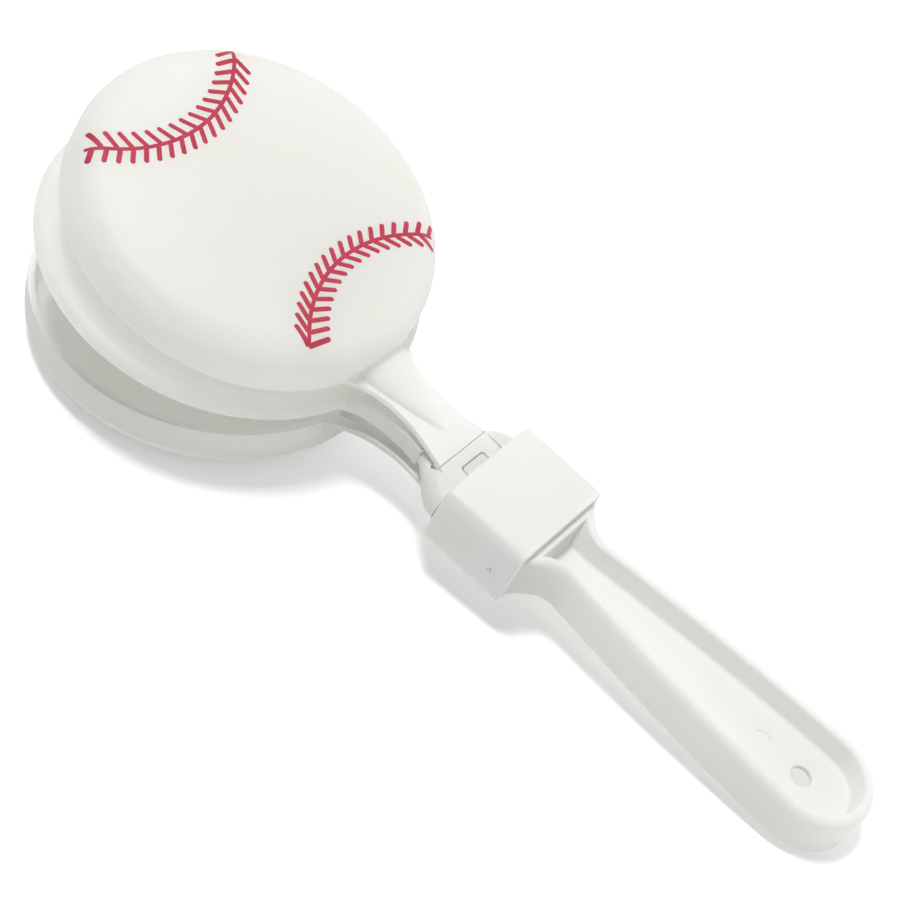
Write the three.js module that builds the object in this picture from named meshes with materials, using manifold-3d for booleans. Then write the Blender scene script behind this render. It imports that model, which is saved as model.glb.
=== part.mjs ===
// A round plastic hand clapper: a centre paddle with a handle, a cup shaped clapper in front of
// it and one behind it, and a collar that holds the tongues of both clappers on the hub.
// Lengths are in millimetres, angles in degrees.
import * as THREE from 'three';
import { mergeVertices } from 'three/addons/utils/BufferGeometryUtils.js';
import Module from 'manifold-3d';

const wasm = await Module();
wasm.setup();

// The paddle's own frame has X along the handle with 0 at the collar's mouth, and Z = 0 at its
// mid thickness. Each piece is symmetric about Y = 0.

// Round heads
const HEAD_DISTANCE = 89.1; // collar mouth to the middle of the heads
const CUP_RADIUS = 50.8;
const CUP_DEPTH = 15.3;
const CUP_WALL = 2;
const CUP_EDGE_RADIUS = 8.2;
const DISC_OVERHANG = 2.6; // of the centre disc past the cups
const DISC_THICKNESS = 5.6;
const WEB_THICKNESS = 1.7;
const SEAT_MARGIN = 1; // the disc's ring reaches this far inside the cup's wall

// Necks of all three paddles
const NECK_WAIST = 14.5; // width where the neck is narrowest
const NECK_WAIST_DISTANCE = 20.5; // from the collar's mouth
const NECK_HEAD_WIDTH = 26; // width where it meets the head
const NECK_THICKNESS = 1.8; // of a clapper
const NECK_STEP_DISTANCE = 7.3; // where the clapper's neck ends and its tongue begins
const RAIL_WIDTH = 2.2; // of the centre paddle's neck

// Cone that braces each clapper's cup on its neck
const BRACE_TIP_DISTANCE = 13.4;
const BRACE_BREADTH = 16.3; // where it meets the cup
const BRACE_HEIGHT = 4.1; // where it meets the cup
const BRACE_WALL = 1.5;

// Tongues, their slots and the lugs that they hook on
const TONGUE_WIDTH = 19.8;
const TONGUE_THICKNESS = 1.6;
const TONGUE_REACH = 6; // into the collar
const TONGUE_DROP = 0.4; // below the clapper's flat underside
const SLOT_WIDTH = 9.6;
const SLOT_START = 3.7; // in front of the collar's mouth
const CROSSBAR = 2.5;
const LUG_CLEARANCE = 0.8;
const LUG_RISE = 0.5; // above a closed tongue, in front of the collar
const FIT_CORNER = 1; // corners of tongues, slots, channels and pockets

// Collar, a sleeve with a round nose and a bore that widens towards the handle
const COLLAR_LENGTH = 26.3;
const COLLAR_WIDTH = 36.7;
const COLLAR_HEIGHT = 20.6;
const COLLAR_NOSE_WALL = 3.1;
const COLLAR_REAR_WALL = 1.8;
const COLLAR_NOSE_RADIUS = 2.9;
const COLLAR_CORNER = 2.8;
const BORE_CORNER = 1;

// Handle, an H section with a round end
const HANDLE_THICKNESS = 14.9;
const HANDLE_ROOT_WIDTH = 17.4;
const HANDLE_END_WIDTH = 30.5;
const HANDLE_LENGTH = 104.4; // collar to the tip
const HANDLE_ROOT_FILLET = 9.7; // length of the curve from the shoulder to the root
const SHOULDER_LENGTH = 0.6;
const RECESS_DISTANCE = 1.5; // past the shoulder
const RECESS_FLARE = 0.75; // share of the root's curve that the recess follows
const RIM_WIDTH = 3.4;
const RECESS_DRAFT = 1;
const HANG_HOLE = 6;
const HANG_HOLE_DISTANCE = 18.4; // from the tip

// Hub inside the collar
const FLARE_LENGTH = 14.2;
const FLARE_STOP = 0.5; // how far the flare stands out from the collar's bore
const FLARE_CORNER = 2.5;
const HIDDEN = 0.1; // how deep a joined piece starts inside its neighbour
const HUB_WALL = 1.8;

// Fits, and how far each clapper stands open
const GAP = 0.3;
const CHANNEL_CLEARANCE = 0.45; // beside each tongue
const CHANNEL_END = 1.5; // past each tongue
const FRONT_OPENING_DEGREES = 5.7;
const REAR_OPENING_DEGREES = 8.6;

// Smoothness
const HEAD_FACETS = 72;
const END_FACETS = 20;
const EDGE_FACETS = 6;
const CORNER_FACETS = 4;
const OUTLINE_STEPS = 10;

// Sizes that follow
const degrees = Math.PI / 180;
const discRadius = CUP_RADIUS + DISC_OVERHANG;
const discTop = DISC_THICKNESS / 2;
const webTop = WEB_THICKNESS / 2;
const cupRim = discTop + GAP;
const neckTop = cupRim + NECK_THICKNESS;
const tongueBottom = cupRim - TONGUE_DROP;
const tongueTop = tongueBottom + TONGUE_THICKNESS;
const slotEnd = TONGUE_REACH - CROSSBAR;
const handleTop = HANDLE_THICKNESS / 2;
const handleStart = COLLAR_LENGTH + SHOULDER_LENGTH;
const shoulderHalf = COLLAR_WIDTH / 2 - COLLAR_REAR_WALL - GAP;
const endRadius = HANDLE_END_WIDTH / 2;
const handleTip = COLLAR_LENGTH + HANDLE_LENGTH;
const endCentre = handleTip - endRadius;
const neckStart = CUP_WALL / 2 + CUP_RADIUS - CUP_WALL - HEAD_DISTANCE;
const hinge = { x: slotEnd - (slotEnd + SLOT_START) / 3, z: (tongueBottom + tongueTop) / 2 };

// Solids from three.js geometries, and back
function solidOf(geometry) {
  const bare = geometry.index ? geometry : geometry.clone();
  bare.deleteAttribute('normal');
  bare.deleteAttribute('uv');
  const merged = mergeVertices(bare, 1e-4);
  return new wasm.Manifold(new wasm.Mesh({
    numProp: 3,
    vertProperties: new Float32Array(merged.attributes.position.array),
    triVerts: new Uint32Array(merged.index.array),
  }));
}

function geometryOf(solid) {
  const mesh = solid.getMesh();
  const geometry = new THREE.BufferGeometry();
  geometry.setAttribute('position', new THREE.BufferAttribute(new Float32Array(mesh.vertProperties), 3));
  geometry.setIndex(new THREE.BufferAttribute(new Uint32Array(mesh.triVerts), 1));
  geometry.computeVertexNormals();
  return geometry;
}

const join = (...solids) => solids.reduce((sum, solid) => sum.add(solid));
const cut = (solid, ...tools) => tools.reduce((rest, tool) => rest.subtract(tool), solid);

// A flat plate between two heights, from a plan outline
function plate(shape, bottom, top) {
  const geometry = new THREE.ExtrudeGeometry(shape, {
    depth: top - bottom, bevelEnabled: false, curveSegments: END_FACETS,
  });
  return solidOf(geometry.translate(0, 0, bottom));
}

// A revolved solid about the middle of the heads, from a profile of [radius, height]
function revolved(profile, facets = HEAD_FACETS) {
  const points = profile.map(([radius, height]) => new THREE.Vector2(radius, height));
  const geometry = new THREE.LatheGeometry(points, facets).rotateX(Math.PI / 2);
  return solidOf(geometry.translate(-HEAD_DISTANCE, 0, 0));
}

// A solid through closed rings of equally many points, with flat ends
function lofted(rings) {
  const count = rings[0].length;
  const corners = rings.flat();
  const faces = [];
  for (let row = 0; row + 1 < rings.length; row += 1) {
    for (let i = 0; i < count; i += 1) {
      const a = row * count + i;
      const b = row * count + (i + 1) % count;
      faces.push(a, b, b + count, a, b + count, a + count);
    }
  }
  const last = (rings.length - 1) * count;
  for (let i = 1; i + 1 < count; i += 1) {
    faces.push(0, i + 1, i, last, last + i, last + i + 1);
  }
  const geometry = new THREE.BufferGeometry().setFromPoints(corners);
  geometry.setIndex(faces);
  return solidOf(geometry);
}

function arc(centreX, centreY, radius, from, to, steps) {
  return Array.from({ length: steps + 1 }, (_, i) => {
    const angle = (from + (to - from) * i / steps) * degrees;
    return [centreX + radius * Math.cos(angle), centreY + radius * Math.sin(angle)];
  });
}

const between = (from, to, steps) => Array.from(
  { length: steps + 1 }, (_, i) => from + (to - from) * i / steps);

const shapeOf = (points) => new THREE.Shape(points.map(([x, y]) => new THREE.Vector2(x, y)));

// A plan outline with both sides alike: its points on the +Y side, in order of X
function mirrored(side) {
  const near = side.map(([x, y]) => [x, -y]);
  const far = [...side].reverse().filter(([, y]) => y > 1e-6);
  return [...near, ...far];
}

const planOf = (side) => shapeOf(mirrored(side));

function roundedRectangle(left, right, halfWidth, radius) {
  const bottom = radius - halfWidth;
  return shapeOf([
    ...arc(right - radius, bottom, radius, -90, 0, CORNER_FACETS),
    ...arc(right - radius, -bottom, radius, 0, 90, CORNER_FACETS),
    ...arc(left + radius, -bottom, radius, 90, 180, CORNER_FACETS),
    ...arc(left + radius, bottom, radius, 180, 270, CORNER_FACETS),
  ]);
}

// A rounded rectangular section across X, as a ring for a loft
function section(x, halfWidth, halfHeight, radius) {
  const y = halfWidth - radius;
  const z = halfHeight - radius;
  return [
    ...arc(y, z, radius, 0, 90, CORNER_FACETS),
    ...arc(-y, z, radius, 90, 180, CORNER_FACETS),
    ...arc(-y, -z, radius, 180, 270, CORNER_FACETS),
    ...arc(y, -z, radius, 270, 360, CORNER_FACETS),
  ].map(([sectionY, sectionZ]) => new THREE.Vector3(x, sectionY, sectionZ));
}

// Half the width of every neck at a place along it
function neckHalfWidth(x) {
  const waist = NECK_WAIST / 2;
  const fromWaist = x + NECK_WAIST_DISTANCE;
  if (fromWaist > 0) {
    const share = fromWaist / (NECK_WAIST_DISTANCE - NECK_STEP_DISTANCE);
    return waist + (TONGUE_WIDTH / 2 - waist) * Math.min(share, 1) ** 1.5;
  }
  const share = fromWaist / (neckStart + NECK_WAIST_DISTANCE);
  return waist + (NECK_HEAD_WIDTH / 2 - waist) * share ** 3;
}

const neckSide = (from, to, inset = 0) => between(from, to, 2 * OUTLINE_STEPS)
  .map((x) => [x, neckHalfWidth(x) - inset]);

// Collar sections at a place along it: of the outside, and of the bore less a clearance
function collarSection(x, inset) {
  const radius = Math.max(COLLAR_CORNER - inset, 0.3);
  return section(x, COLLAR_WIDTH / 2 - inset, COLLAR_HEIGHT / 2 - inset, radius);
}

function boreSection(x, clearance) {
  const wall = COLLAR_NOSE_WALL + (COLLAR_REAR_WALL - COLLAR_NOSE_WALL) * x / COLLAR_LENGTH;
  const inset = wall + clearance;
  return section(x, COLLAR_WIDTH / 2 - inset, COLLAR_HEIGHT / 2 - inset, BORE_CORNER);
}

// Cup: flat face, wide soft edge, straight wall, open towards the centre paddle
function cupSolid() {
  const top = discTop + CUP_DEPTH;
  const innerEdge = CUP_EDGE_RADIUS - CUP_WALL;
  const arcCentre = CUP_RADIUS - CUP_EDGE_RADIUS;
  return revolved([
    [0, top - CUP_WALL],
    ...arc(arcCentre, top - CUP_EDGE_RADIUS, innerEdge, 90, 0, EDGE_FACETS),
    [CUP_RADIUS - CUP_WALL, cupRim],
    [CUP_RADIUS, cupRim],
    ...arc(arcCentre, top - CUP_EDGE_RADIUS, CUP_EDGE_RADIUS, 0, 90, EDGE_FACETS),
    [0, top],
  ]);
}

// Cone between cup and neck, as arched sections on a flat foot, moved in by a wall
function braceSolid(foot, wall) {
  const tip = -BRACE_TIP_DISTANCE;
  const start = tip + (neckStart - tip) * (wall + HIDDEN / 2) / BRACE_HEIGHT;
  const rings = between(start, neckStart, OUTLINE_STEPS).map((x) => {
    const share = (tip - x) / (tip - neckStart);
    const rise = BRACE_HEIGHT * share - wall;
    const breadth = BRACE_BREADTH / 2 * Math.sqrt(share) - wall;
    const radius = (breadth ** 2 + rise ** 2) / (2 * rise);
    const sweep = Math.asin(Math.min(breadth / radius, 1)) / degrees;
    const crown = arc(0, neckTop + rise - radius, radius, 90 - sweep, 90 + sweep, 2 * EDGE_FACETS);
    const ring = [[-breadth, foot], [breadth, foot], ...crown];
    return ring.map(([y, z]) => new THREE.Vector3(x, y, z));
  });
  return lofted(rings.reverse());
}

// Clapper: cup, neck, brace and slotted tongue in one moulding, about its hinge axis
function clapperSolid() {
  const longNeck = plate(
    planOf(neckSide(neckStart - 2 * CUP_WALL, -NECK_STEP_DISTANCE)), cupRim, neckTop);
  const wallMiddle = CUP_RADIUS - CUP_WALL / 2;
  const neck = cut(longNeck, revolved([[0, 0], [wallMiddle, 0], [wallMiddle, neckTop * 2], [0, neckTop * 2]]));
  const tongueStart = -NECK_STEP_DISTANCE - TONGUE_THICKNESS;
  const tongueHalf = TONGUE_WIDTH / 2;
  const tongue = plate(
    shapeOf([
      [tongueStart, -neckHalfWidth(tongueStart)], [-NECK_STEP_DISTANCE, -tongueHalf],
      ...arc(TONGUE_REACH - FIT_CORNER, FIT_CORNER - tongueHalf, FIT_CORNER, -90, 0, CORNER_FACETS),
      ...arc(TONGUE_REACH - FIT_CORNER, tongueHalf - FIT_CORNER, FIT_CORNER, 0, 90, CORNER_FACETS),
      [-NECK_STEP_DISTANCE, tongueHalf], [tongueStart, neckHalfWidth(tongueStart)],
    ]), tongueBottom, tongueTop);
  const slot = plate(
    roundedRectangle(-SLOT_START, slotEnd, SLOT_WIDTH / 2, FIT_CORNER), 0, tongueTop + SLOT_WIDTH);
  const whole = join(cupSolid(), neck, tongue, braceSolid(cupRim + NECK_THICKNESS / 2, 0));
  return cut(whole, slot, braceSolid(0, BRACE_WALL)).translate(-hinge.x, 0, -hinge.z);
}

// Centre disc: a rounded ring where the cups strike, and a thin web inside it
function discSolid() {
  const ringInside = CUP_RADIUS - CUP_WALL - SEAT_MARGIN;
  const webEnd = ringInside - SEAT_MARGIN;
  return revolved([
    [0, -webTop], [webEnd, -webTop], [ringInside, -discTop],
    ...arc(discRadius - discTop, 0, discTop, -90, 90, EDGE_FACETS),
    [ringInside, discTop], [webEnd, webTop], [0, webTop],
  ]);
}

// Hub: from the neck it flares to the collar's stop, and goes on as the core that the collar grips
function flareSolid() {
  const stopWidth = COLLAR_WIDTH / 2 - COLLAR_NOSE_WALL + FLARE_STOP;
  const stopHeight = COLLAR_HEIGHT / 2 - COLLAR_NOSE_WALL + FLARE_STOP * 2;
  const start = -FLARE_LENGTH - GAP;
  const waist = neckHalfWidth(start) - HIDDEN;
  const thin = discTop - HIDDEN;
  return lofted(between(0, 1, OUTLINE_STEPS).map((share) => {
    const ease = Math.sin(share * Math.PI / 2);
    const halfWidth = waist + (stopWidth - waist) * ease ** 1.5;
    const halfHeight = thin + (stopHeight - thin) * ease ** 2;
    const radius = Math.min(FLARE_CORNER, 0.5 * halfHeight);
    return section(start + FLARE_LENGTH * share, halfWidth, halfHeight, radius);
  }));
}

function coreSolid() {
  return lofted([-GAP - HIDDEN, handleStart].map((x) => boreSection(x, GAP)));
}

// Half the width of the handle at a place along it, with a share of the curve at its root
function handleHalfWidth(x, flare) {
  const root = HANDLE_ROOT_WIDTH / 2;
  const filletEnd = handleStart + HANDLE_ROOT_FILLET;
  const share = Math.max(x - filletEnd, 0) / (endCentre - filletEnd);
  const body = root + (endRadius - root) * (1 - (1 - Math.min(share, 1)) ** 1.5);
  const fillet = Math.max(filletEnd - x, 0) / HANDLE_ROOT_FILLET;
  return body + flare * (shoulderHalf - 2 * HIDDEN - root) * fillet ** 2;
}

function handleSide(from, inset, flare) {
  const steps = [
    ...between(from, handleStart + HANDLE_ROOT_FILLET, OUTLINE_STEPS),
    ...between(handleStart + HANDLE_ROOT_FILLET, endCentre, OUTLINE_STEPS).slice(1),
  ];
  const sides = steps.map((x) => [x, handleHalfWidth(x, flare) - inset]);
  return [...sides, ...arc(endCentre, 0, endRadius - inset, 90, 0, END_FACETS).slice(1)];
}

function handleSolid() {
  const side = [[COLLAR_LENGTH, shoulderHalf - 2 * HIDDEN], ...handleSide(handleStart, 0, 1)];
  return plate(planOf(side), -handleTop, handleTop);
}

// A pocket that narrows towards the web, seen from above
function draftedPocket(sideAt, top) {
  const ring = (inset, z) => mirrored(sideAt(inset)).map(([x, y]) => new THREE.Vector3(x, y, z));
  return lofted([ring(RECESS_DRAFT, webTop), ring(0, top), ring(0, 2 * top)]);
}

function recessSide(inset) {
  const flare = RECESS_FLARE * (1 - 0.8 * inset / RECESS_DRAFT);
  return handleSide(handleStart + RECESS_DISTANCE + inset / 2, RIM_WIDTH + inset, flare);
}

// What is cut from the centre paddle's front face, the rear face is alike
function frontCuts() {
  const channelHalf = TONGUE_WIDTH / 2 + CHANNEL_CLEARANCE;
  const channelEnd = TONGUE_REACH + CHANNEL_END;
  const channel = plate(
    roundedRectangle(-FLARE_LENGTH, channelEnd, channelHalf, FIT_CORNER), webTop, HANDLE_THICKNESS);
  const ringOutside = CUP_RADIUS + 2 * SEAT_MARGIN - HEAD_DISTANCE;
  const troughSide = neckSide(ringOutside, -FLARE_LENGTH + FIT_CORNER, RAIL_WIDTH);
  const trough = plate(planOf(troughSide), webTop, HANDLE_THICKNESS);
  const coreStart = channelEnd + HUB_WALL;
  const coreEnd = COLLAR_LENGTH - HUB_WALL / 2;
  const coreHalf = COLLAR_WIDTH / 2 - COLLAR_NOSE_WALL - GAP - HUB_WALL;
  const pocketHalf = (coreHalf - HUB_WALL / 2) / 2;
  const pocket = plate(
    roundedRectangle(coreStart, coreEnd, pocketHalf, FIT_CORNER), webTop, HANDLE_THICKNESS);
  const pocketPlace = HUB_WALL / 2 + pocketHalf;
  return join(
    channel, trough, pocket.translate(0, pocketPlace, 0), pocket.translate(0, -pocketPlace, 0),
    draftedPocket(recessSide, handleTop));
}

// Lug that a tongue's slot hooks on, taller inside the collar so that the tongue can't lift off
function lugSolid() {
  const half = SLOT_WIDTH / 2 - LUG_CLEARANCE;
  const start = -SLOT_START + LUG_CLEARANCE;
  const end = slotEnd - LUG_CLEARANCE;
  const low = tongueTop + LUG_RISE;
  const high = COLLAR_HEIGHT / 2 - COLLAR_NOSE_WALL - GAP;
  return join(
    plate(roundedRectangle(start, end, half, LUG_CLEARANCE), -low, low),
    plate(roundedRectangle(GAP, end - HIDDEN, half - HIDDEN, LUG_CLEARANCE), -high, high));
}

function centrePaddleSolid() {
  const inRing = CUP_RADIUS - CUP_WALL - SEAT_MARGIN + 4 * HIDDEN - HEAD_DISTANCE;
  const neck = plate(
    planOf(neckSide(inRing, -FLARE_LENGTH + 3 * HIDDEN)), -discTop, discTop);
  const body = join(discSolid(), neck, flareSolid(), coreSolid(), handleSolid());
  const cuts = frontCuts();
  const hole = plate(
    new THREE.Shape().absarc(handleTip - HANG_HOLE_DISTANCE, 0, HANG_HOLE / 2, 0, 2 * Math.PI),
    -HANDLE_THICKNESS, HANDLE_THICKNESS);
  return join(cut(body, cuts, cuts.rotate([180, 0, 0]), hole), lugSolid());
}

function collarSolid() {
  const nose = arc(COLLAR_NOSE_RADIUS, COLLAR_NOSE_RADIUS, COLLAR_NOSE_RADIUS, 180, 270, EDGE_FACETS);
  const outside = [...nose, [COLLAR_LENGTH, 0]].map(([x, inset]) => collarSection(x, inset));
  const bore = lofted([-GAP, COLLAR_LENGTH + GAP].map((x) => boreSection(x, 0)));
  return cut(lofted(outside), bore);
}

// Named meshes with their materials
function piece(name, solid, color, roughness) {
  const material = new THREE.MeshStandardMaterial({ color, roughness, metalness: 0 });
  const mesh = new THREE.Mesh(geometryOf(solid), material);
  mesh.name = name;
  return mesh;
}

// A clapper hung on its hinge axis; side is 1 in front of the paddle and -1 behind it
function hungClapper(name, side, opening) {
  const mesh = piece(name, clapperSolid(), 0xf1f1ee, 0.42);
  mesh.rotation.x = side > 0 ? 0 : Math.PI;
  const arm = new THREE.Group();
  arm.position.set(hinge.x, 0, side * hinge.z);
  arm.rotation.y = side * opening * degrees;
  return arm.add(mesh);
}

// The clapper lies on a table on the edge of its rear cup and on the handle's tip
function restPitch() {
  const turn = REAR_OPENING_DEGREES * degrees;
  const edgeX = -HEAD_DISTANCE - CUP_RADIUS + CUP_EDGE_RADIUS - hinge.x;
  const edgeZ = discTop + CUP_DEPTH - CUP_EDGE_RADIUS - hinge.z;
  const centreX = hinge.x + edgeX * Math.cos(turn) + edgeZ * Math.sin(turn);
  const centreZ = -hinge.z - (edgeZ * Math.cos(turn) - edgeX * Math.sin(turn));
  const run = handleTip - centreX;
  const rise = centreZ + handleTop;
  return Math.asin(CUP_EDGE_RADIUS / Math.hypot(run, rise)) - Math.atan2(rise, run);
}

const paddles = new THREE.Group();
paddles.add(
  piece('centre_paddle', centrePaddleSolid(), 0xf0f0ed, 0.42),
  piece('collar', collarSolid(), 0xf2f2f0, 0.4),
  hungClapper('front_clapper', 1, FRONT_OPENING_DEGREES),
  hungClapper('rear_clapper', -1, REAR_OPENING_DEGREES),
);
paddles.rotation.y = restPitch();

// The origin is on the table under the middle of the clapper
const clapper = new THREE.Group();
clapper.add(paddles);
clapper.updateMatrixWorld(true);
const extent = new THREE.Box3().setFromObject(clapper, true);
paddles.position.set(-(extent.min.x + extent.max.x) / 2, 0, -extent.min.z);
clapper.updateMatrixWorld(true);

export default clapper;
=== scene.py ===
import math

import bpy
from mathutils import Matrix, Vector


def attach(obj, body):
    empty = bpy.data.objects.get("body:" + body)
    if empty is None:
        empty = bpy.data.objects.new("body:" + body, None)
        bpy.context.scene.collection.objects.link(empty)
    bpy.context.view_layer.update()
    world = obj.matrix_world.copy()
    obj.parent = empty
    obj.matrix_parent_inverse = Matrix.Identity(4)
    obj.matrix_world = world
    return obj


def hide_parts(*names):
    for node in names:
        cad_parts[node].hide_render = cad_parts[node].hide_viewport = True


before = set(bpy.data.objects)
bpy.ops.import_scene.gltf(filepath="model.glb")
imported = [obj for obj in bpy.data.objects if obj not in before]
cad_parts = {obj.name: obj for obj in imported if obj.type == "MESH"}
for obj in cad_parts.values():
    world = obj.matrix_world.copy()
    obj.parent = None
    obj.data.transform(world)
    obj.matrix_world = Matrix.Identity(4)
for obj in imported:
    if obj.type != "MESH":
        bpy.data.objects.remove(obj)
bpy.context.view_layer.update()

# Round heads
HEAD_DISTANCE = 89.1
CUP_RADIUS = 50.8
CUP_DEPTH = 15.3
CUP_WALL = 2.0
CUP_EDGE_RADIUS = 8.2
DISC_OVERHANG = 2.6
DISC_THICKNESS = 5.6
WEB_THICKNESS = 1.7
SEAT_MARGIN = 1.0
MIDDLE_RING = 12

# Necks, braces and tongues
NECK_WAIST = 14.5
NECK_WAIST_DISTANCE = 20.5
NECK_HEAD_WIDTH = 26.0
NECK_THICKNESS = 1.8
NECK_STEP_DISTANCE = 7.3
RAIL_WIDTH = 2.2
BRACE_TIP_DISTANCE = 13.2
BRACE_BREADTH = 18.2
BRACE_HEIGHT = 3.9
BRACE_CURVE = 0.75
BRACE_WALL = 1.5
BRACE_FILLET = 1.6
TONGUE_WIDTH = 19.8
TONGUE_THICKNESS = 1.6
TONGUE_REACH = 6.0
TONGUE_DROP = 0.4
SLOT_WIDTH = 9.6
SLOT_START = 3.7
CROSSBAR = 2.5
LUG_GROOVE = 0.4
LUG_RISE = 0.3
FIT_CORNER = 1.0

# Collar
COLLAR_LENGTH = 26.3
COLLAR_WIDTH = 36.7
COLLAR_HEIGHT = 20.6
COLLAR_NOSE_WALL = 3.1
COLLAR_REAR_WALL = 1.8
COLLAR_NOSE_RADIUS = 1.2
COLLAR_REAR_RADIUS = 0.3
COLLAR_CORNER = 2.8
BORE_CORNER = 1.0
BORE_NOSE_RADIUS = 0.2
BORE_REAR_RADIUS = 0.06
BAND_LENGTH = 1.3
BAND_DEPTH = 0.12
GATE_DISTANCE = 20.2
GATE_DROP = 1.0
GATE_PIT = 1.3

# Handle and hub
HANDLE_THICKNESS = 14.9
HANDLE_ROOT_WIDTH = 17.4
HANDLE_END_WIDTH = 30.5
HANDLE_LENGTH = 104.4
HANDLE_ROOT_FILLET = 9.7
SHOULDER_LENGTH = 0.6
RECESS_DISTANCE = 1.5
RECESS_FLARE = 0.75
RECESS_LEAN = 0.8
RECESS_LIP = 1.1
RECESS_FOOT = 1.1
RIM_WIDTH = 3.4
RECESS_DRAFT = 1.0
HANG_HOLE = 6.0
HANG_HOLE_DISTANCE = 18.4
EJECTOR_DISTANCE = 98.8
EJECTOR_SHIFT = 0.6
EJECTOR_MARK = 4.6
EJECTOR_DEPTH = 0.3
FLARE_LENGTH = 14.2
FLARE_STOP = 2.7
CHEEK_TOP = 5.1
CHEEK_START = 9.2
CHEEK_RISE = 4.5
HIDDEN = 0.1
HUB_WALL = 1.8
GAP = 0.3
CHANNEL_CLEARANCE = 0.15
CHANNEL_START = 9.6
CHANNEL_END = 1.5
FRONT_OPENING = 5.7
REAR_OPENING = 8.6

# Soft edges of the mouldings, and how many facets the round heads have
RIM_SOFTNESS = 0.35
DISC_SOFTNESS = 0.3
PLATE_SOFTNESS = 0.3
RAIL_SOFTNESS = 0.3
TONGUE_SOFTNESS = 0.18
LUG_SOFTNESS = 0.2
HOLE_SOFTNESS = 0.35
HANDLE_SOFTNESS = 2.3
HEAD_FACETS = 192

# Printed stitching. Each seam has the middle of its circle, taken from the middle of the face, its
# span in degrees and its radius at the start, half way and at the end. Each row of stitches on
# it has a count, a span, the lean back along the seam and the reach across it.
INK_RISE = 0.035
INK_DEPTH = 0.05
PRINT_RADIUS = 48.4
SEAM_LINE = 1.1
STITCH_LINE = 1.4
SEAMS = (((-71.7, -2.4), (-40, 43), (46.9, 47.1, 44.3),
          ((16, (-34.7, 42), (2.6, 2.6, 4.3), (-5.8, -4.8, -4.8)),
           (18, (-37.8, 37.7), (1.6, 2.7, 3.9), (4.4, 4.7, 4.9)))),
         ((65.3, 6.6), (140, 230), (40.3, 40.0, 40.6),
          ((18, (142, 230), (1.9, 3.0, 5.8), (4.0, 4.0, 3.3)),
           (17, (146.5, 230), (4.2, 2.8, 2.9), (-4.0, -4.0, -6.1)))))

# Plastics and ink. WARMTH is what the clouds in the plastic do to its white.
PADDLE_WHITE = (0.955, 0.955, 0.94)
COLLAR_WHITE = (0.95, 0.95, 0.935)
CUP_WHITE = (0.96, 0.96, 0.945)
WARMTH = (0.985, 0.98, 0.955)
INK_FULL = (0.4, 0.018, 0.048)
INK_THIN = (0.48, 0.028, 0.064)

# Share of the light that goes through the plastic: at the disc, at the cups' flat faces and
# upright walls, at the necks, at the handle, and at the collar's flat faces and sides
DISC_TRANSLUCENCE = 0.82
FACE_TRANSLUCENCE = 0.68
REAR_FACE_TRANSLUCENCE = 0.1
WALL_TRANSLUCENCE = 0.6
NECK_TRANSLUCENCE = 0.35
HANDLE_TRANSLUCENCE = 0.43
SLEEVE_TRANSLUCENCE = 0.33
SLEEVE_SIDE_TRANSLUCENCE = 0.18

# Where the heads give way to the necks along X, in metres, and how steep a face is when it
# counts as upright and when it counts as flat
HEADS_END = (-0.042, -0.004)
FLATNESS = (0.15, 0.6)

# Studio
FLOOR_SIZE = 8
FLOOR_ALBEDO = 0.95
FLOOR_GLOW = 0.3
SKY_TOP = 0.45
SKY_SIDE = 1.05
SKY_LEAN = (0.5, 0.2, 0.0)
FLAG_DIRECTION = (0.0, -0.75, 0.66)
FLAG_DEPTH = 1.0
FLAG_EDGE = (0.4, 0.9)
KEY_POWER = 47.0
KEY_SIZE = 0.7
KEY_PLACE = (-0.45, -0.14, 2.35)

# Camera, as fitted to the outlines in the photograph
CAMERA_LENS = 101.3755
CAMERA_SENSOR = 36
CAMERA_PLACE = (0.169085, -0.42567, 0.49551)
CAMERA_RIGHT = (0.759673, 0.596139, 0.259838)
CAMERA_UP = (-0.5945, 0.474696, 0.649025)
CAMERA_AWAY = (0.263565, -0.64752, 0.715018)

# Sizes that follow
disc_top = DISC_THICKNESS / 2
disc_radius = CUP_RADIUS + DISC_OVERHANG
web_top = WEB_THICKNESS / 2
cup_rim = disc_top + GAP
cup_top = disc_top + CUP_DEPTH
neck_top = cup_rim + NECK_THICKNESS
tongue_bottom = cup_rim - TONGUE_DROP
tongue_top = tongue_bottom + TONGUE_THICKNESS
slot_end = TONGUE_REACH - CROSSBAR
handle_top = HANDLE_THICKNESS / 2
handle_start = COLLAR_LENGTH + SHOULDER_LENGTH
shoulder_half = COLLAR_WIDTH / 2 - COLLAR_REAR_WALL - GAP
end_radius = HANDLE_END_WIDTH / 2
handle_tip = COLLAR_LENGTH + HANDLE_LENGTH
end_centre = handle_tip - end_radius
neck_start = CUP_RADIUS - CUP_WALL / 2 - HEAD_DISTANCE
hinge = Vector((slot_end - (slot_end + SLOT_START) / 3, 0, (tongue_bottom + tongue_top) / 2))

# Where the CAD holds the paddle: its pitch, and its place in metres
REST_PITCH = math.radians(6.6902)
REST_PLACE = Vector((0.00542585, 0, 0.0226262))
rest = Matrix.Translation(REST_PLACE) @ Matrix.Rotation(REST_PITCH, 4, "Y") @ Matrix.Scale(0.001, 4)


def pick(*pieces):
    """Selects these pieces alone and makes the first one active"""
    bpy.ops.object.select_all(action="DESELECT")
    for piece in pieces:
        piece.select_set(True)
    bpy.context.view_layer.objects.active = pieces[0]


def reshape(piece, *steps):
    """Runs edit mode operators on the whole of a piece"""
    pick(piece)
    bpy.ops.object.mode_set(mode="EDIT")
    bpy.ops.mesh.select_all(action="SELECT")
    for step in steps:
        step()
    bpy.ops.object.mode_set(mode="OBJECT")
    return piece


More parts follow.
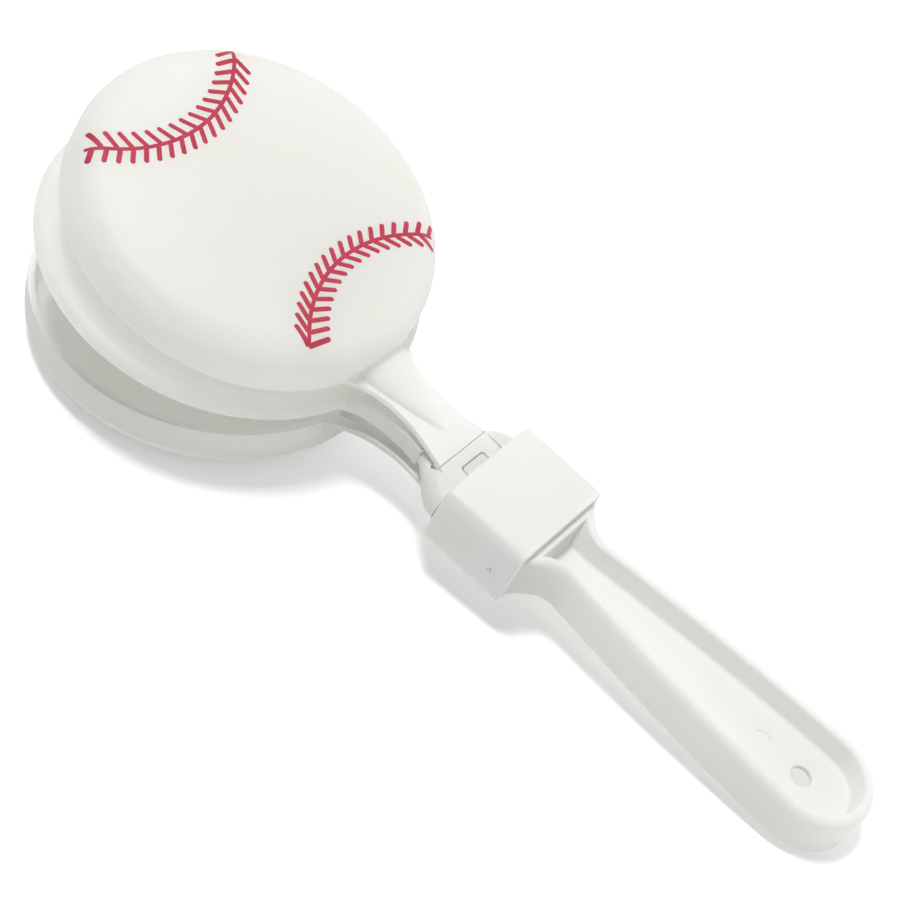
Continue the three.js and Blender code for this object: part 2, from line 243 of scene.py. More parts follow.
def close_holes():
    bpy.ops.mesh.select_all(action="DESELECT")
    bpy.ops.mesh.select_mode(type="EDGE")
    bpy.ops.mesh.select_non_manifold(extend=False, use_wire=False, use_multi_face=False,
                                     use_non_contiguous=False, use_verts=False)
    bpy.ops.mesh.fill_holes(sides=0)
    bpy.ops.mesh.select_all(action="SELECT")


def face_out():
    bpy.ops.mesh.normals_make_consistent(inside=False)


def skin(name, rings, closed=False):
    """A grid with its rows laid on closed sections, sewn up along the seam and shut at the ends"""
    rows = [[*ring, ring[0]] for ring in rings]
    if closed:
        rows.append(rows[0])
    bpy.ops.object.select_all(action="DESELECT")
    bpy.ops.mesh.primitive_grid_add(x_subdivisions=len(rows[0]) - 1, y_subdivisions=len(rows) - 1)
    piece = bpy.context.object
    piece.name = name
    flat = [value for row in rows for point in row for value in point]
    piece.data.vertices.foreach_set("co", flat)
    piece.data.update()
    steps = [lambda: bpy.ops.mesh.remove_doubles(threshold=0.0005)]
    if not closed:
        steps.append(close_holes)
    return reshape(piece, *steps, face_out)


def plate(name, outline, bottom, top, softness=0.0, steps=2):
    """A flat plate from a plan outline, its edges softened"""
    bpy.ops.object.select_all(action="DESELECT")
    bpy.ops.mesh.primitive_circle_add(vertices=len(outline), fill_type="NGON")
    piece = bpy.context.object
    piece.name = name
    flat = [value for x, y in outline for value in (x, y, bottom)]
    piece.data.vertices.foreach_set("co", flat)
    rise = {"value": (0, 0, top - bottom)}
    reshape(piece, lambda: bpy.ops.mesh.extrude_region_move(TRANSFORM_OT_translate=rise),
            lambda: bpy.ops.mesh.select_all(action="SELECT"), face_out)
    if softness:
        soften(piece, softness, steps)
    return piece


def finish(piece, kind, **settings):
    """Adds a modifier to a piece and applies it"""
    step = piece.modifiers.new(kind.lower(), kind)
    for key, value in settings.items():
        setattr(step, key, value)
    pick(piece)
    bpy.ops.object.modifier_apply(modifier=step.name)
    return piece


def soften(piece, width, steps=2, angle=35):
    return finish(piece, "BEVEL", width=width, segments=steps, limit_method="ANGLE",
                  angle_limit=math.radians(angle), use_clamp_overlap=True)


def joined(piece, *others):
    for other in others:
        finish(piece, "BOOLEAN", operation="UNION", solver="EXACT", object=other)
        bpy.data.objects.remove(other)
    return piece


def carved(piece, *tools):
    for tool in tools:
        finish(piece, "BOOLEAN", operation="DIFFERENCE", solver="EXACT", object=tool)
        bpy.data.objects.remove(tool)
    return piece


def copy_of(piece, name):
    twin = piece.copy()
    twin.data = piece.data.copy()
    twin.name = name
    bpy.context.scene.collection.objects.link(twin)
    return twin


def mirrored_down(piece, name):
    """The same piece for the rear face, turned over about X"""
    twin = copy_of(piece, name)
    twin.data.transform(Matrix.Rotation(math.pi, 4, "X"))
    return twin


def between(start, end, steps):
    return [start + (end - start) * i / steps for i in range(steps + 1)]


def arc(across, along, radius, start, end, steps):
    """Points of a circle arc between two angles in degrees"""
    turns = [math.radians(angle) for angle in between(start, end, steps)]
    return [(across + radius * math.cos(turn), along + radius * math.sin(turn)) for turn in turns]


def rounded(left, right, half, radius, steps=6):
    low = radius - half
    return [*arc(right - radius, low, radius, -90, 0, steps),
            *arc(right - radius, -low, radius, 0, 90, steps),
            *arc(left + radius, -low, radius, 90, 180, steps),
            *arc(left + radius, low, radius, 180, 270, steps)]


def both_sides(side):
    """An outline with both sides alike, from its points on the +Y side in order of X"""
    near = [(x, -y) for x, y in side]
    return near + [point for point in reversed(side) if point[1] > 1e-6]


def section(x, half_width, half_height, radius, steps=8):
    """A rounded rectangle across X"""
    y, z = half_width - radius, half_height - radius
    ring = [*arc(y, z, radius, 0, 90, steps), *arc(-y, z, radius, 90, 180, steps),
            *arc(-y, -z, radius, 180, 270, steps), *arc(y, -z, radius, 270, 360, steps)]
    return [(x, across, up) for across, up in ring]


def turned(name, profile, facets=HEAD_FACETS):
    """A solid of revolution about the middle of the heads, from points of radius and height"""
    turns = [2 * math.pi * i / facets for i in range(facets)]
    rings = [[(radius * math.cos(turn) - HEAD_DISTANCE, radius * math.sin(turn), height)
              for turn in turns] for radius, height in profile]
    return skin(name, rings)


def neck_half_width(x):
    waist = NECK_WAIST / 2
    from_waist = x + NECK_WAIST_DISTANCE
    if from_waist > 0:
        share = from_waist / (NECK_WAIST_DISTANCE - NECK_STEP_DISTANCE)
        return waist + (TONGUE_WIDTH / 2 - waist) * min(share, 1) ** 1.5
    share = from_waist / (neck_start + NECK_WAIST_DISTANCE)
    return waist + (NECK_HEAD_WIDTH / 2 - waist) * share ** 3


def cup():
    """Flat face, wide soft edge and straight wall, with soft edges at the rim"""
    edge = CUP_RADIUS - CUP_EDGE_RADIUS
    soft = RIM_SOFTNESS
    inner = CUP_RADIUS - CUP_WALL
    return turned("cup", [
        (MIDDLE_RING, cup_top), (edge - 4, cup_top), (edge - 0.4, cup_top),
        *arc(edge, cup_top - CUP_EDGE_RADIUS, CUP_EDGE_RADIUS, 90, 0, 20),
        (CUP_RADIUS, cup_rim + soft + 0.3),
        *arc(CUP_RADIUS - soft, cup_rim + soft, soft, 0, -90, 4),
        *arc(inner + soft, cup_rim + soft, soft, -90, -180, 4),
        (inner, cup_rim + soft + 0.3),
        *arc(edge, cup_top - CUP_EDGE_RADIUS, CUP_EDGE_RADIUS - CUP_WALL, 0, 90, 12),
        (edge - 0.4, cup_top - CUP_WALL), (MIDDLE_RING, cup_top - CUP_WALL)])


def brace_share(x):
    """How far along the brace a place is: 0 at its tip, 1 where the cup begins"""
    return (x + BRACE_TIP_DISTANCE) / (neck_start + BRACE_TIP_DISTANCE)


def brace_height(x, y):
    share = brace_share(x)
    if share <= 0:
        return -1.0
    rise = BRACE_HEIGHT * share ** BRACE_CURVE
    breadth = BRACE_BREADTH / 2 * share ** BRACE_CURVE
    if abs(y) >= breadth:
        return -0.5 * (abs(y) - breadth)
    return rise * math.sqrt(1 - (y / breadth) ** 2)


def neck_height(x, y):
    """Top of a clapper's neck: the plate, the brace on it and a fillet up to the cup's wall"""
    brace = brace_height(x, y)
    top = 0.5 * (brace + math.sqrt(brace ** 2 + 0.01))
    apart = math.hypot(x + HEAD_DISTANCE, y) - CUP_RADIUS
    if apart < BRACE_FILLET:
        run = BRACE_FILLET - max(apart, 0)
        top += BRACE_FILLET - math.sqrt(max(BRACE_FILLET ** 2 - run ** 2, 0))
    return neck_top + top


def neck_with_brace():
    """Sections across the neck, bowed near the cup so that they follow its wall"""
    soft = PLATE_SOFTNESS
    start, end = neck_start - 1.2, -NECK_STEP_DISTANCE
    rings = []
    for share in between(0, 1, 90):
        line = start + (end - start) * share ** 1.4
        half = neck_half_width(line)
        bow = (1 - share) ** 6
        edge = []
        for y in between(-half + soft, half - soft, 72):
            x = line + bow * (math.sqrt(CUP_RADIUS ** 2 - y ** 2) - CUP_RADIUS)
            edge.append((x, y, neck_height(x, y)))
        sides = []
        for sign in (1, -1):
            x, y, height = edge[-1 if sign > 0 else 0]
            corner = arc(half - soft, height - soft, soft, 90, 0, 4)[1:]
            foot = arc(half - soft, cup_rim + soft, soft, 0, -90, 4)
            side = [(x, sign * across, up) for across, up in [*corner, *foot]]
            sides.append(side)
        rings.append([*edge, *sides[0], *reversed(sides[1])])
    return skin("neck", rings)


def brace_hollow():
    """The room under the brace, open towards the centre paddle"""
    rings = []
    start = ((BRACE_WALL + 0.15) / BRACE_HEIGHT) ** (1 / BRACE_CURVE)
    for share in between(start, 1, 24):
        x = -BRACE_TIP_DISTANCE + (neck_start + BRACE_TIP_DISTANCE) * share
        rise = BRACE_HEIGHT * share ** BRACE_CURVE - BRACE_WALL
        breadth = BRACE_BREADTH / 2 * share ** BRACE_CURVE - BRACE_WALL
        radius = (breadth ** 2 + rise ** 2) / (2 * rise)
        sweep = math.degrees(math.asin(min(breadth / radius, 1)))
        crown = arc(0, neck_top + rise - radius, radius, 90 - sweep, 90 + sweep, 20)
        rings.append([(x, y, z) for y, z in [(-breadth, 0), (breadth, 0), *crown]])
    return skin("hollow", rings)


def tongue():
    half = TONGUE_WIDTH / 2
    start = -NECK_STEP_DISTANCE - TONGUE_THICKNESS
    steps = 6
    outline = [(start, -neck_half_width(start)), (-NECK_STEP_DISTANCE, -half),
               *arc(TONGUE_REACH - FIT_CORNER, FIT_CORNER - half, FIT_CORNER, -90, 0, steps),
               *arc(TONGUE_REACH - FIT_CORNER, half - FIT_CORNER, FIT_CORNER, 0, 90, steps),
               (-NECK_STEP_DISTANCE, half), (start, neck_half_width(start))]
    piece = plate("tongue", outline, tongue_bottom, tongue_top)
    slot = plate("slot", rounded(-SLOT_START, slot_end, SLOT_WIDTH / 2, FIT_CORNER), 0, 9)
    return soften(carved(piece, slot), TONGUE_SOFTNESS, 2)


def clapper(name):
    """Cup, braced neck and slotted tongue in one moulding, shut against the centre paddle"""
    whole = joined(cup(), neck_with_brace(), tongue())
    carved(whole, brace_hollow())
    whole.name = name
    return whole


def bowed(values, share):
    """A value that runs smoothly through its start, its middle and its end"""
    start, middle, end = values
    return (start * (1 - share) * (1 - 2 * share) + middle * 4 * share * (1 - share)
            + end * share * (2 * share - 1))


def face_height(x, y):
    beyond = math.hypot(x + HEAD_DISTANCE, y) - (CUP_RADIUS - CUP_EDGE_RADIUS)
    drop = CUP_EDGE_RADIUS - math.sqrt(CUP_EDGE_RADIUS ** 2 - max(beyond, 0) ** 2)
    return cup_top - drop


def stroke(place, length, width, rise, steps):
    """A thin film of ink with round ends, laid over the front face along a path"""
    half = width / 2
    ends = [half * (1 - math.cos(math.radians(turn))) for turn in (8, 35, 62)]
    runs = ends + between(half, length - half, steps) + [length - run for run in reversed(ends)]
    rings = []
    for run in runs:
        x, y = place(run / length)
        ahead = Vector(place(run / length + 0.001)) - Vector((x, y))
        along, across = ahead.normalized()
        breadth = math.sqrt(half ** 2 - (half - min(run, length - run, half)) ** 2)
        ring = []
        for side, up in ((-1, -INK_DEPTH), (-1, rise), (0, rise), (1, rise), (1, -INK_DEPTH)):
            spot = (x - across * side * breadth, y + along * side * breadth)
            ring.append((*spot, face_height(*spot) + up))
        rings.append(ring)
    return skin("stroke", rings)


def seam(middle, span, radius, rows):
    """One curved line of the stitching with a row of stitches on either side"""
    first, last = span

    def spot(turn, lean=0.0, reach=0.0):
        angle = math.radians(turn)
        out = bowed(radius, (turn - first) / (last - first)) + reach
        x = middle[0] + out * math.cos(angle) + lean * math.sin(angle)
        y = middle[1] + out * math.sin(angle) - lean * math.cos(angle)
        held = min(1, PRINT_RADIUS / math.hypot(x, y))
        return x * held - HEAD_DISTANCE, y * held

    length = radius[1] * math.radians(last - first)
    strokes = [stroke(lambda share: spot(first + (last - first) * share), length,
                      SEAM_LINE, INK_RISE + 0.01, 60)]
    for count, (start, end), leans, reaches in rows:
        for i in range(count):
            share = i / (count - 1)
            turn = start + (end - start) * share
            foot = Vector(spot(turn))
            tip = Vector(spot(turn, bowed(leans, share), bowed(reaches, share)))
            strokes.append(stroke(lambda share, a=foot, b=tip: tuple(a.lerp(b, share)),
                                  (tip - foot).length, STITCH_LINE, INK_RISE, 6))
    return strokes


def stitching():
    strokes = [line for values in SEAMS for line in seam(*values)]
    pick(*strokes)
    bpy.ops.object.join()
    strokes[0].name = "printed_stitching"
    return strokes[0]


def disc():
    inside = CUP_RADIUS - CUP_WALL - SEAT_MARGIN
    web_end = inside - SEAT_MARGIN
    soft = DISC_SOFTNESS
    upper = [(MIDDLE_RING, web_top), (web_end - 0.6, web_top), (web_end, web_top + 0.08),
             (inside - 0.12, disc_top - 0.12), (inside + soft, disc_top),
             (disc_radius - disc_top - 0.4, disc_top),
             *arc(disc_radius - disc_top, 0, disc_top, 90, 0, 10)]
    lower = [(radius, -height) for radius, height in reversed(upper[:-1])]
    return turned("disc", upper + lower)


def neck_side(start, end, inset=0.0, steps=40):
    return [(x, neck_half_width(x) - inset) for x in between(start, end, steps)]


def railed_neck():
    """Neck of the centre paddle, an H section with rails along both sides"""
    in_ring = CUP_RADIUS - CUP_WALL - SEAT_MARGIN + 4 * HIDDEN - HEAD_DISTANCE
    neck = plate("rails", both_sides(neck_side(in_ring, 3 * HIDDEN - FLARE_LENGTH)),
                 -disc_top, disc_top)
    ring_outside = CUP_RADIUS + 2 * SEAT_MARGIN - HEAD_DISTANCE
    side = neck_side(ring_outside, FIT_CORNER - FLARE_LENGTH, RAIL_WIDTH)
    trough = plate("trough", both_sides(side), web_top, 9)
    rear = mirrored_down(trough, "rear_trough")
    return soften(carved(neck, trough, rear), RAIL_SOFTNESS, 3)


def flare():
    """Hub's flare, from the neck out to the collar's stop"""
    stop_width = COLLAR_WIDTH / 2 - COLLAR_NOSE_WALL + FLARE_STOP
    start = -FLARE_LENGTH - GAP
    waist = neck_half_width(start) - HIDDEN
    thin = disc_top - HIDDEN
    rings = []
    for share in between(0, 1, 32):
        ease = math.sin(share * math.pi / 2)
        half_width = waist + (stop_width - waist) * ease ** 1.5
        x = start + FLARE_LENGTH * share
        climb = min(max((x + CHEEK_START) / CHEEK_RISE, 0), 1)
        half_height = thin + (CHEEK_TOP - thin) * math.sin(climb * math.pi / 2)
        rings.append(section(x, half_width, half_height, 0.97 * half_height, 12))
    return skin("flare", rings)


def bore_section(x, clearance):
    wall = COLLAR_NOSE_WALL + (COLLAR_REAR_WALL - COLLAR_NOSE_WALL) * x / COLLAR_LENGTH
    inset = wall + clearance
    return section(x, COLLAR_WIDTH / 2 - inset, COLLAR_HEIGHT / 2 - inset, BORE_CORNER)


def core():
    ends = ((-GAP - HIDDEN, GAP), (COLLAR_LENGTH - COLLAR_REAR_WALL, GAP), (COLLAR_LENGTH, 0.02),
            (COLLAR_LENGTH + HIDDEN, 0.02))
    return skin("core", [bore_section(x, clearance) for x, clearance in ends])


def handle_half_width(x, root_flare):
    root = HANDLE_ROOT_WIDTH / 2
    fillet_end = handle_start + HANDLE_ROOT_FILLET
    share = max(x - fillet_end, 0) / (end_centre - fillet_end)
    body = root + (end_radius - root) * (1 - (1 - min(share, 1)) ** 1.5)
    fillet = max(fillet_end - x, 0) / HANDLE_ROOT_FILLET
    return body + root_flare * (shoulder_half - 2 * HIDDEN - root) * fillet ** 2


def handle_side(start, inset, root_flare):
    fillet_end = handle_start + HANDLE_ROOT_FILLET
    places = between(start, fillet_end, 24) + between(fillet_end, end_centre, 36)[1:]
    side = [(x, handle_half_width(x, root_flare) - inset) for x in places]
    return side + arc(end_centre, 0, end_radius - inset, 90, 0, 28)[1:]


def handle():
    """Handle from its middle web out: floor, recess wall, soft rim and side, on both faces"""
    def outside(inset, height):
        side = handle_side(COLLAR_LENGTH - 2 * GAP, inset, 1)
        return [(x, y, height) for x, y in both_sides(side)]

    def recess(inset, height):
        share = min(max(inset, 0) / RECESS_DRAFT, 1)
        root_flare = RECESS_FLARE * (1 - 0.8 * share)
        start = handle_start + RECESS_DISTANCE + inset * (RECESS_LEAN if inset > 0 else 0.5)
        side = handle_side(start, RIM_WIDTH + inset, root_flare)
        return [(x, y, height) for x, y in both_sides(side)]

    soft, lip, foot = HANDLE_SOFTNESS, RECESS_LIP, RECESS_FOOT
    upper = [recess(RECESS_DRAFT + foot + 0.5, web_top), recess(RECESS_DRAFT + foot, web_top)]
    for turn in between(0, math.pi / 2, 8)[1:]:
        upper.append(recess(RECESS_DRAFT + foot * (1 - math.sin(turn)),
                            web_top + foot * (1 - math.cos(turn))))
    for turn in between(0, math.pi / 2, 7):
        upper.append(recess(-lip * (1 - math.cos(turn)), handle_top - lip * (1 - math.sin(turn))))
    for turn in between(math.pi / 2, 0, 10):
        upper.append(outside(soft * (1 - math.cos(turn)), handle_top - soft * (1 - math.sin(turn))))
    lower = [[(x, y, -z) for x, y, z in ring] for ring in reversed(upper)]
    return skin("handle", upper + lower)


def hub_cuts():
    channel_half = TONGUE_WIDTH / 2 + CHANNEL_CLEARANCE
    channel_end = TONGUE_REACH + CHANNEL_END
    outline = rounded(-CHANNEL_START, channel_end, channel_half, FIT_CORNER)
    channel = plate("channel", outline, web_top, HANDLE_THICKNESS)
    start = channel_end + HUB_WALL
    end = COLLAR_LENGTH - HUB_WALL / 2
    core_half = COLLAR_WIDTH / 2 - COLLAR_NOSE_WALL - GAP - HUB_WALL
    pocket_half = (core_half - HUB_WALL / 2) / 2
    shift = HUB_WALL / 2 + pocket_half
    outline = rounded(start, end, pocket_half, FIT_CORNER)
    cuts = [channel]
    for side in (1, -1):
        moved = [(x, y + side * shift) for x, y in outline]
        cuts.append(plate("pocket", moved, web_top, HANDLE_THICKNESS))
    return cuts + [mirrored_down(cut, "rear_cut") for cut in cuts]


def lug():
    half = SLOT_WIDTH / 2 - LUG_GROOVE
    start, end = LUG_GROOVE - SLOT_START, slot_end - 2 * LUG_GROOVE
    low = tongue_top + LUG_RISE
    high = COLLAR_HEIGHT / 2 - COLLAR_NOSE_WALL - GAP
    front = plate("lug", rounded(start, end, half, FIT_CORNER), -low, low, LUG_SOFTNESS)
    tall = rounded(GAP, end - HIDDEN, half - HIDDEN, FIT_CORNER)
    return joined(front, plate("tall_lug", tall, -high, high, LUG_SOFTNESS))


def turned_hole():
    """The hang hole, wider at both faces of the web so that its edges are soft"""
    radius, soft = HANG_HOLE / 2, HOLE_SOFTNESS
    upper = [(radius + 1.2, handle_top), (radius + soft, web_top + 0.05), (radius + soft, web_top)]
    upper += [(radius + soft * (1 - math.sin(turn)), web_top - soft * (1 - math.cos(turn)))
              for turn in between(0, math.pi / 2, 4)]
    profile = upper + [(out, -up) for out, up in reversed(upper)]
    turns = [2 * math.pi * i / 64 for i in range(64)]
    middle = handle_tip - HANG_HOLE_DISTANCE
    return skin("hole", [[(middle + out * math.cos(turn), out * math.sin(turn), up)
                          for turn in turns] for out, up in profile])


def drill(place, radius, depth, way="Z", facets=40):
    """A short round bar that is cut out of a piece, or added to one"""
    turn = (math.pi / 2, 0, 0) if way == "Y" else (0, 0, 0)
    bpy.ops.object.select_all(action="DESELECT")
    bpy.ops.mesh.primitive_cylinder_add(vertices=facets, radius=radius, depth=depth,
                                        location=place, rotation=turn)
    bpy.ops.object.transform_apply(location=True, rotation=True, scale=False)
    return bpy.context.object


def centre_paddle():
    whole = joined(disc(), railed_neck(), flare(), core(), handle())
    carved(whole, *hub_cuts())
    hole = turned_hole()
    place = (EJECTOR_DISTANCE, EJECTOR_SHIFT, web_top)
    mark = drill(place, EJECTOR_MARK / 2, 2 * EJECTOR_DEPTH)
    soften(mark, 0.1, 2)
    carved(whole, hole, mark)
    joined(whole, lug())
    whole.name = "moulded_centre_paddle"
    return whole


def collar():
    nose, end = COLLAR_NOSE_RADIUS, COLLAR_REAR_RADIUS
    width, height = COLLAR_WIDTH / 2, COLLAR_HEIGHT / 2

    def outside(x, inset):
        radius = max(COLLAR_CORNER - inset, 0.4)
        return section(x, width - inset, height - inset, radius, 10)

    def bore(x, inset):
        wall = COLLAR_NOSE_WALL + (COLLAR_REAR_WALL - COLLAR_NOSE_WALL) * x / COLLAR_LENGTH
        return section(x, width - wall + inset, height - wall + inset, BORE_CORNER, 10)

    rings = [outside(nose * (1 - math.sin(turn)), nose * (1 - math.cos(turn)))
             for turn in between(math.pi / 2, 0, 12)]
    rings += [outside(COLLAR_LENGTH - BAND_LENGTH - 0.2, 0),
              outside(COLLAR_LENGTH - BAND_LENGTH, BAND_DEPTH)]
    rings += [outside(COLLAR_LENGTH - end * (1 - math.sin(turn)),
                      end * (1 - math.cos(turn)) + BAND_DEPTH)
              for turn in between(0, math.pi / 2, 4)]
    rings += [bore(COLLAR_LENGTH - BORE_REAR_RADIUS * (1 - math.cos(turn)),
                   BORE_REAR_RADIUS * (1 - math.sin(turn)))
              for turn in between(0, math.pi / 2, 2)]
    rings += [bore(BORE_NOSE_RADIUS * (1 - math.sin(turn)), BORE_NOSE_RADIUS * (1 - math.cos(turn)))
              for turn in between(0, math.pi / 2, 3)]
    sleeve = skin("moulded_collar", rings, closed=True)
    pit = drill((GATE_DISTANCE, -width, -GATE_DROP), GATE_PIT / 2, 0.5, "Y")
    carved(sleeve, pit)
    stub = drill((GATE_DISTANCE + 0.1, -width, -GATE_DROP), GATE_PIT / 5, 0.6, "Y")
    return joined(sleeve, stub)


def lay(piece, *moves):
    """Lays a finished mesh where the CAD has it and smooths its shading"""
    for move in moves:
        piece.data.transform(move)
    piece.data.transform(rest)
    pick(piece)
    bpy.ops.object.shade_smooth_by_angle(angle=math.radians(32))
    return piece


def swung(opening):
    turn = Matrix.Rotation(math.radians(opening), 4, "Y")
    return Matrix.Translation(hinge) @ turn @ Matrix.Translation(-hinge)


front = clapper("moulded_front_clapper")
rear = copy_of(front, "moulded_rear_clapper")
paddle = centre_paddle()
sleeve = collar()
print_film = stitching()
lay(front, swung(FRONT_OPENING))
lay(print_film, swung(FRONT_OPENING))
lay(rear, swung(REAR_OPENING), Matrix.Rotation(math.pi, 4, "X"))
lay(paddle)
lay(sleeve)

for piece, body, node, slot in (
        (paddle, "handle", "centre_paddle", "paddle_plastic"),
        (sleeve, "handle", "collar", "collar_plastic"),
        (front, "front", "front_clapper", "front_clapper_plastic"),
        (rear, "rear", "rear_clapper", "rear_clapper_plastic")):
    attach(piece, body)
    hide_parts(node)
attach(print_film, "front")


class Wire:
    """A socket of a material's nodes that can be used in sums"""

    def __init__(self, recipe, socket):
        self.recipe, self.socket = recipe, socket

    def _math(self, operation, *values):
        return self.recipe.node("Math", {"operation": operation}, dict(enumerate(values)))

    def __add__(self, other):
        return self._math("ADD", self, other)

    def __sub__(self, other):
        return self._math("SUBTRACT", self, other)

    def __rsub__(self, other):
        return self._math("SUBTRACT", other, self)

    def __mul__(self, other):
        return self._math("MULTIPLY", self, other)

    def above(self, low, high):
        """0 below low, 1 above high and a smooth rise between them"""
        settings = {"interpolation_type": "SMOOTHSTEP"}
        inputs = {"Value": self, "From Min": low, "From Max": high}
        return self.recipe.node("MapRange", settings, inputs)

    __radd__ = __add__
    __rmul__ = __mul__


class Recipe:
    """The node tree of one material or of the world"""

    def __init__(self, tree):
        self.tree = tree
        tree.nodes.clear()

    def node(self, kind, settings=None, inputs=None, output=0):
        made = self.tree.nodes.new("ShaderNode" + kind)
        for key, value in (settings or {}).items():
            setattr(made, key, value)
        for key, value in (inputs or {}).items():
            if isinstance(value, Wire):
                self.tree.links.new(value.socket, made.inputs[key])
            else:
                made.inputs[key].default_value = value
        return Wire(self, made.outputs[output]) if made.outputs else None

    def noise(self, place, scale, detail=2.0, roughness=0.5):
        inputs = {"Vector": place, "Scale": scale, "Detail": detail, "Roughness": roughness}
        return self.node("TexNoise", {}, inputs)

    def tint(self, share, first, second):
        """A colour between two others"""
        mixer = self.tree.nodes.new("ShaderNodeMix")
        mixer.data_type = "RGBA"
        self.tree.links.new(share.socket, mixer.inputs[0])
        mixer.inputs[6].default_value = (*first, 1)
        mixer.inputs[7].default_value = (*second, 1)
        return Wire(self, mixer.outputs[2])


def material(name):
    made = bpy.data.materials.new(name)
    made.use_nodes = True
    return made, Recipe(made.node_tree)


def beyond_head(recipe):
    """0 on the round heads, 1 from the collar on, with a slow change along the necks"""
    place = recipe.node("TexCoord", output=3)
    return recipe.node("SeparateXYZ", {}, {0: place}, output=0).above(*HEADS_END)


def facing_up(recipe):
    """1 on faces that look up or down, 0 on upright walls"""
    normal = recipe.node("TexCoord", output=1)
    up = recipe.node("SeparateXYZ", {}, {0: normal}, output=2)
    return recipe.node("Math", {"operation": "ABSOLUTE"}, {0: up}).above(*FLATNESS)


def cup_passes(face_share):
    def passing(recipe):
        thin = facing_up(recipe) * (face_share - WALL_TRANSLUCENCE) + WALL_TRANSLUCENCE
        return thin - beyond_head(recipe) * (thin - NECK_TRANSLUCENCE)
    return passing


def sleeve_passes(recipe):
    rise = SLEEVE_TRANSLUCENCE - SLEEVE_SIDE_TRANSLUCENCE
    return facing_up(recipe) * rise + SLEEVE_SIDE_TRANSLUCENCE


def paddle_passes(recipe):
    """More light comes through the disc than through the handle"""
    return beyond_head(recipe) * (HANDLE_TRANSLUCENCE - DISC_TRANSLUCENCE) + DISC_TRANSLUCENCE


def moulded_plastic(name, shade, seed, passing):
    """White moulded plastic: low sheen, faint mottling and a fine skin from the mould"""
    made, recipe = material(name)
    coordinates = recipe.node("TexCoord", output=3)
    place = recipe.node("Mapping", {}, {"Vector": coordinates, "Location": (seed, seed * 0.7, 0)})
    clouds = recipe.noise(place, 45, 3)
    grain = recipe.noise(place, 1400, 3)
    peel = recipe.noise(place, 420, 2)
    scuffs = recipe.noise(place, 160, 5, 0.7)
    warm = tuple(value * factor for value, factor in zip(shade, WARMTH))
    colour = recipe.tint(clouds.above(0.35, 0.75), shade, warm)
    roughness = 0.42 + scuffs * 0.08 + grain * 0.05
    height = peel * 0.7 + grain * 0.3
    bump = recipe.node("Bump", {}, {"Strength": 0.12, "Distance": 0.00004, "Height": height})
    lit = recipe.node("BsdfPrincipled", {}, {
        "Base Color": colour, "Roughness": roughness, "Normal": bump, "IOR": 1.49,
        "Specular IOR Level": 0.6})
    through = recipe.node("BsdfTranslucent", {}, {"Color": (*shade, 1), "Normal": bump})
    shader = recipe.node("MixShader", {}, {0: passing(recipe), 1: lit, 2: through})
    recipe.node("OutputMaterial", {}, {"Surface": shader})
    return made


def red_ink(name):
    """Screen printed ink with a faint grain, slightly uneven in its cover"""
    made, recipe = material(name)
    coordinates = recipe.node("TexCoord", output=3)
    cover = recipe.noise(coordinates, 260, 4, 0.6)
    grain = recipe.noise(coordinates, 1800, 2)
    colour = recipe.tint(cover.above(0.3, 0.75), INK_FULL, INK_THIN)
    bump = recipe.node("Bump", {}, {"Strength": 0.15, "Distance": 0.00003, "Height": grain})
    shader = recipe.node("BsdfPrincipled", {}, {
        "Base Color": colour, "Roughness": 0.45 + cover * 0.1, "Normal": bump})
    recipe.node("OutputMaterial", {}, {"Surface": shader})
    return made


def dress(piece, made):
    piece.data.materials.clear()
    piece.data.materials.append(made)


front_passes = cup_passes(FACE_TRANSLUCENCE)
rear_passes = cup_passes(REAR_FACE_TRANSLUCENCE)
dress(paddle, moulded_plastic("paddle_white", PADDLE_WHITE, 1.3, paddle_passes))
dress(sleeve, moulded_plastic("collar_white", COLLAR_WHITE, 4.1, sleeve_passes))
dress(front, moulded_plastic("front_cup_white", CUP_WHITE, 7.7, front_passes))
dress(rear, moulded_plastic("rear_cup_white", CUP_WHITE, 2.9, rear_passes))
dress(print_film, red_ink("stitching_print"))

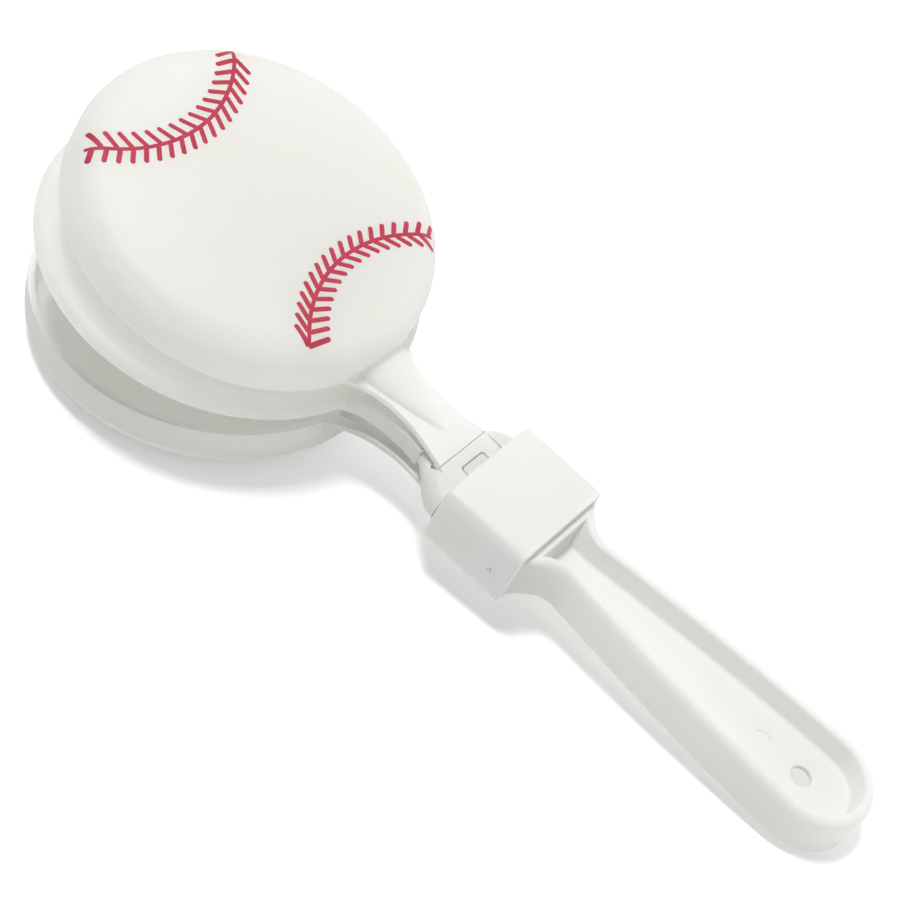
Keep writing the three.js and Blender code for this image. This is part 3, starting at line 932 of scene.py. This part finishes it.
# Floor, which stays white for the camera where no shadow falls on it
bpy.ops.object.select_all(action="DESELECT")
bpy.ops.mesh.primitive_plane_add(size=FLOOR_SIZE, location=(0, 0, 0))
floor = bpy.context.object
floor.name = "floor"
made, recipe = material("pale_floor")
seen = recipe.node("LightPath", output="Is Camera Ray")
glossy = recipe.node("LightPath", output="Is Glossy Ray")
glow = recipe.node("Emission", {}, {"Strength": (seen + glossy) * FLOOR_GLOW})
paint = recipe.node("BsdfDiffuse", {}, {"Color": (FLOOR_ALBEDO, FLOOR_ALBEDO, FLOOR_ALBEDO, 1)})
surface = recipe.node("AddShader", {}, {0: paint, 1: glow})
recipe.node("OutputMaterial", {}, {"Surface": surface})
dress(floor, made)

# Studio light: a pale room with a dark flag on the near side, and one soft lamp overhead
world = bpy.data.worlds.new("studio")
bpy.context.scene.world = world
world.use_nodes = True
recipe = Recipe(world.node_tree)
direction = recipe.node("TexCoord", output="Generated")
height = recipe.node("SeparateXYZ", {}, {0: direction}, output=2)
seen = recipe.node("LightPath", output="Is Camera Ray")
sky = height.above(-0.1, 0.9) * (SKY_TOP - SKY_SIDE) + SKY_SIDE
flag = recipe.node("VectorMath", {"operation": "DOT_PRODUCT"},
                   {0: direction, 1: FLAG_DIRECTION}, output=1)
lean = recipe.node("VectorMath", {"operation": "DOT_PRODUCT"},
                   {0: direction, 1: SKY_LEAN}, output=1)
sky = sky * (1 - flag.above(*FLAG_EDGE) * FLAG_DEPTH) * (1 + lean)
strength = sky * (1 - seen) + seen
room = recipe.node("Background", {}, {"Color": (1, 1, 1, 1), "Strength": strength})
recipe.node("OutputWorld", {}, {"Surface": room})


def lamp(name, size, power, place, target):
    data = bpy.data.lights.new(name, "AREA")
    data.shape = "DISK"
    data.size = size
    data.energy = power
    made = bpy.data.objects.new(name, data)
    bpy.context.scene.collection.objects.link(made)
    made.location = place
    made.rotation_euler = (Vector(target) - Vector(place)).to_track_quat("-Z", "Y").to_euler()


lamp("key", KEY_SIZE, KEY_POWER, KEY_PLACE, (0, 0, 0))

# Camera at the photograph's place
camera_data = bpy.data.cameras.new("camera")
camera_data.lens = CAMERA_LENS
camera_data.sensor_width = CAMERA_SENSOR
camera_data.clip_start = 0.01
camera = bpy.data.objects.new("camera", camera_data)
bpy.context.scene.collection.objects.link(camera)
turn = Matrix((CAMERA_RIGHT, CAMERA_UP, CAMERA_AWAY)).transposed().to_4x4()
camera.matrix_world = Matrix.Translation(CAMERA_PLACE) @ turn
bpy.context.scene.camera = camera
bpy.context.scene.view_settings.view_transform = "Standard"
